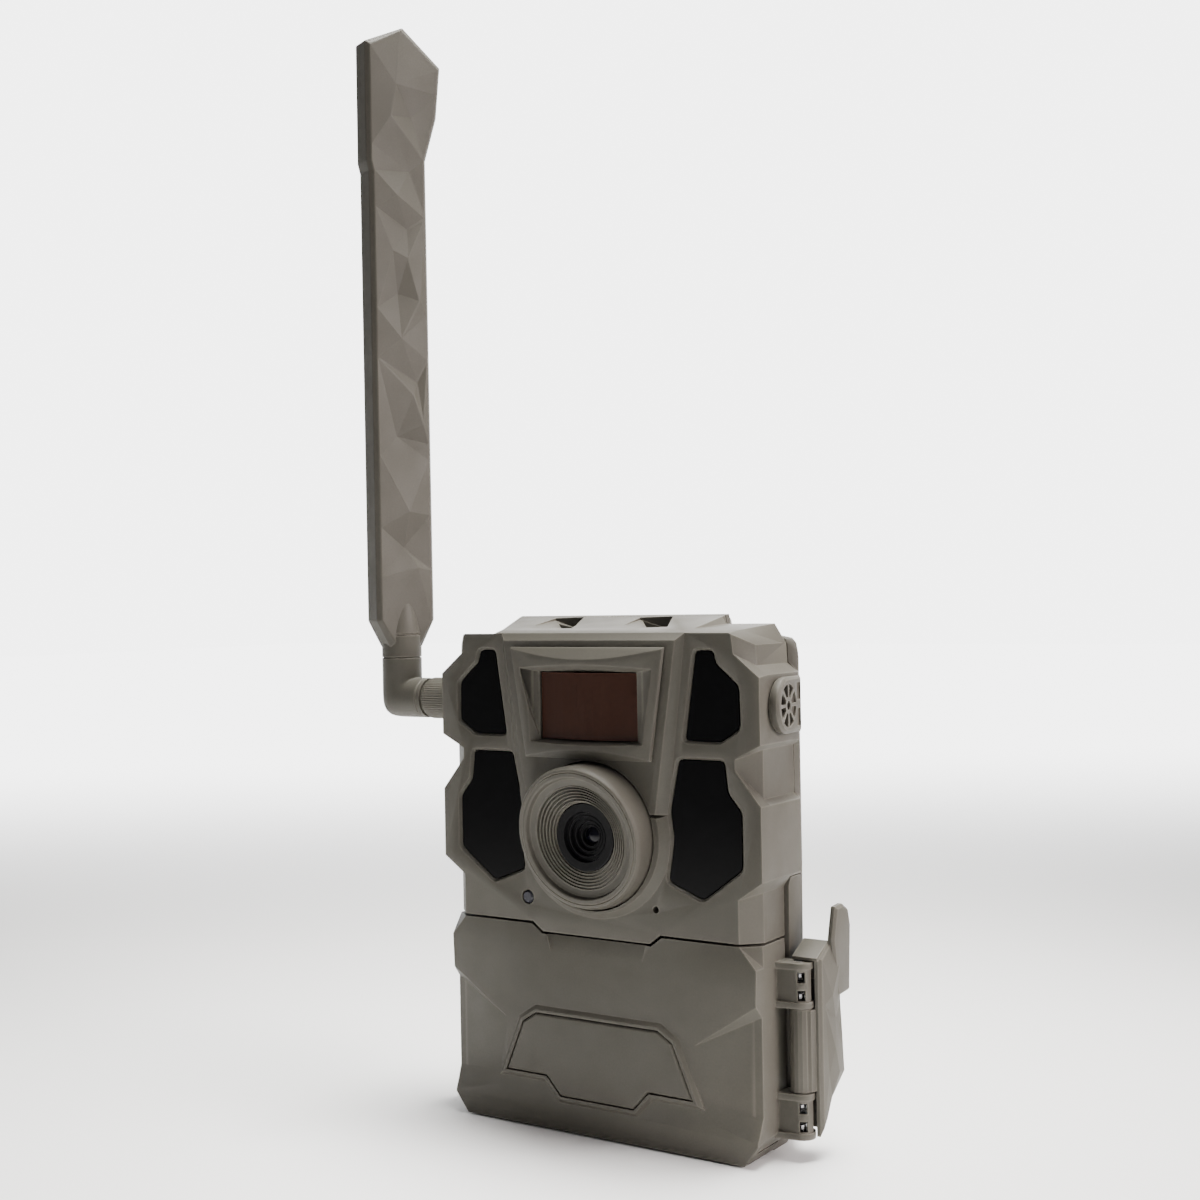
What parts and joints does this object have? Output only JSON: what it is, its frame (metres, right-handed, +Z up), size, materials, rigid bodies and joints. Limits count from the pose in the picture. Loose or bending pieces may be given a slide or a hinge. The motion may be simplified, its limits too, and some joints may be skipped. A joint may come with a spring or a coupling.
{
  "type": "trail camera",
  "caption": "Compact outdoor wildlife camera: angular taupe case with smoked infrared windows, motion sensor, hooded lens, latched battery door, rear strap bracket and swivelling blade antenna.",
  "frame": {"origin": "centre of the case's flat underside, level with the middle of the case's depth to the strap bracket's foot", "axes": "+Z up, +X to the right of someone facing the lens, -Y the way the lens looks"},
  "size_m": [0.1505, 0.0723, 0.3265],
  "materials": {
    "taupe_plastic": "grey taupe moulding with a fine spark-eroded grain",
    "dark_taupe_plastic": "darker taupe moulding with a fine grain",
    "seal_rubber": "soft black sealing rubber",
    "smoked_window": "polished near-black window that only infrared passes",
    "brown_window": "satin dark brown polyethylene",
    "black_plastic": "satin black moulding",
    "lens_glass": "polished coated glass",
    "clear_plastic": "polished clear light guide",
    "circuit_board": "solder-masked fibreglass board",
    "steel": "plated steel",
    "shield_can": "tinned steel sheet",
    "brass": "machined brass",
    "cell_wrap": "printed plastic sleeve over a steel can",
    "orange_button": "satin orange moulding"
  },
  "bodies": {
    "camera": {"front_bezel": "taupe_plastic", "rear_housing": "taupe_plastic", "pir_frame": "taupe_plastic", "lens_hood": "taupe_plastic", "vent_cap": "taupe_plastic", "strap_bracket": "dark_taupe_plastic", "housing_seal": "seal_rubber", "door_seal": "seal_rubber", "ir_window_upper_right": "smoked_window", "ir_window_upper_left": "smoked_window", "ir_window_lower_right": "smoked_window", "ir_window_lower_left": "smoked_window", "pir_lens": "brown_window", "lens_barrel": "black_plastic", "microphone": "black_plastic", "battery_tray": "black_plastic", "lens_element": "lens_glass", "lens_cover": "lens_glass", "status_lens": "clear_plastic", "image_sensor_board": "circuit_board", "main_board": "circuit_board", "lamp_board_right": "circuit_board", "lamp_board_left": "circuit_board", "control_board": "circuit_board", "pir_sensor": "steel", "hinge_pin": "steel", "bracket_screw_left": "steel", "bracket_screw_right": "steel", "bracket_screw_lower": "steel", "case_screw_lower_right": "steel", "case_screw_lower_left": "steel", "case_screw_upper_right": "steel", "case_screw_upper_left": "steel", "cell_modem": "shield_can", "card_socket": "shield_can", "antenna_socket": "brass", "tripod_insert": "brass", "cell_01": "cell_wrap", "cell_02": "cell_wrap", "cell_03": "cell_wrap", "cell_04": "cell_wrap", "cell_05": "cell_wrap", "cell_06": "cell_wrap", "cell_07": "cell_wrap", "cell_08": "cell_wrap"},
    "door": {"door": "taupe_plastic", "door_badge": "taupe_plastic", "latch_pin": "steel", "latch_spring_lower": "steel", "latch_spring_upper": "steel"},
    "latch": {"latch": "taupe_plastic"},
    "antenna_nut": {"antenna_nut": "taupe_plastic"},
    "antenna_elbow": {"antenna_elbow": "taupe_plastic"},
    "antenna_blade": {"antenna_paddle": "taupe_plastic", "antenna_element": "brass"},
    "power_switch": {"power_switch": "black_plastic"},
    "setup_button": {"setup_button": "orange_button"},
    "memory_card": {"memory_card": "black_plastic"}
  },
  "joints": [
    {"name": "door_hinge", "type": "hinge", "parent": "camera", "child": "door", "pos_m": [-0.0546, -0.0134, 0.03], "axis": [0, 0, -1], "range_deg": [0, 110]},
    {"name": "latch_hinge", "type": "hinge", "parent": "door", "child": "latch", "pos_m": [0.0553, -0.0154, 0.028], "axis": [0, 0, -1], "range_deg": [0, 80], "stiffness_Nm_per_rad": 0.02},
    {"name": "antenna_nut_spin", "type": "hinge", "parent": "camera", "child": "antenna_nut", "pos_m": [-0.058, -0.0156, 0.1198], "axis": [1, 0, 0], "continuous": true},
    {"name": "antenna_elbow_turn", "type": "hinge", "parent": "camera", "child": "antenna_elbow", "pos_m": [-0.08, -0.0156, 0.1198], "axis": [1, 0, 0], "range_deg": [-90, 90]},
    {"name": "blade_swivel", "type": "hinge", "parent": "antenna_elbow", "child": "antenna_blade", "pos_m": [-0.08, -0.0156, 0.132], "axis": [0, 0, 1], "range_deg": [-180, 180]},
    {"name": "power_switch_slide", "type": "slide", "parent": "camera", "child": "power_switch", "axis": [0, 0, 1], "range_m": [-0.003, 0.003]},
    {"name": "setup_button_press", "type": "slide", "parent": "camera", "child": "setup_button", "axis": [0, 1, 0], "range_m": [0, 0.0006], "stiffness_N_per_m": 800, "springref_m": -0.0003},
    {"name": "memory_card_slide", "type": "slide", "parent": "camera", "child": "memory_card", "axis": [0, -1, 0], "range_m": [-0.0006, 0.0055]}
  ]
}
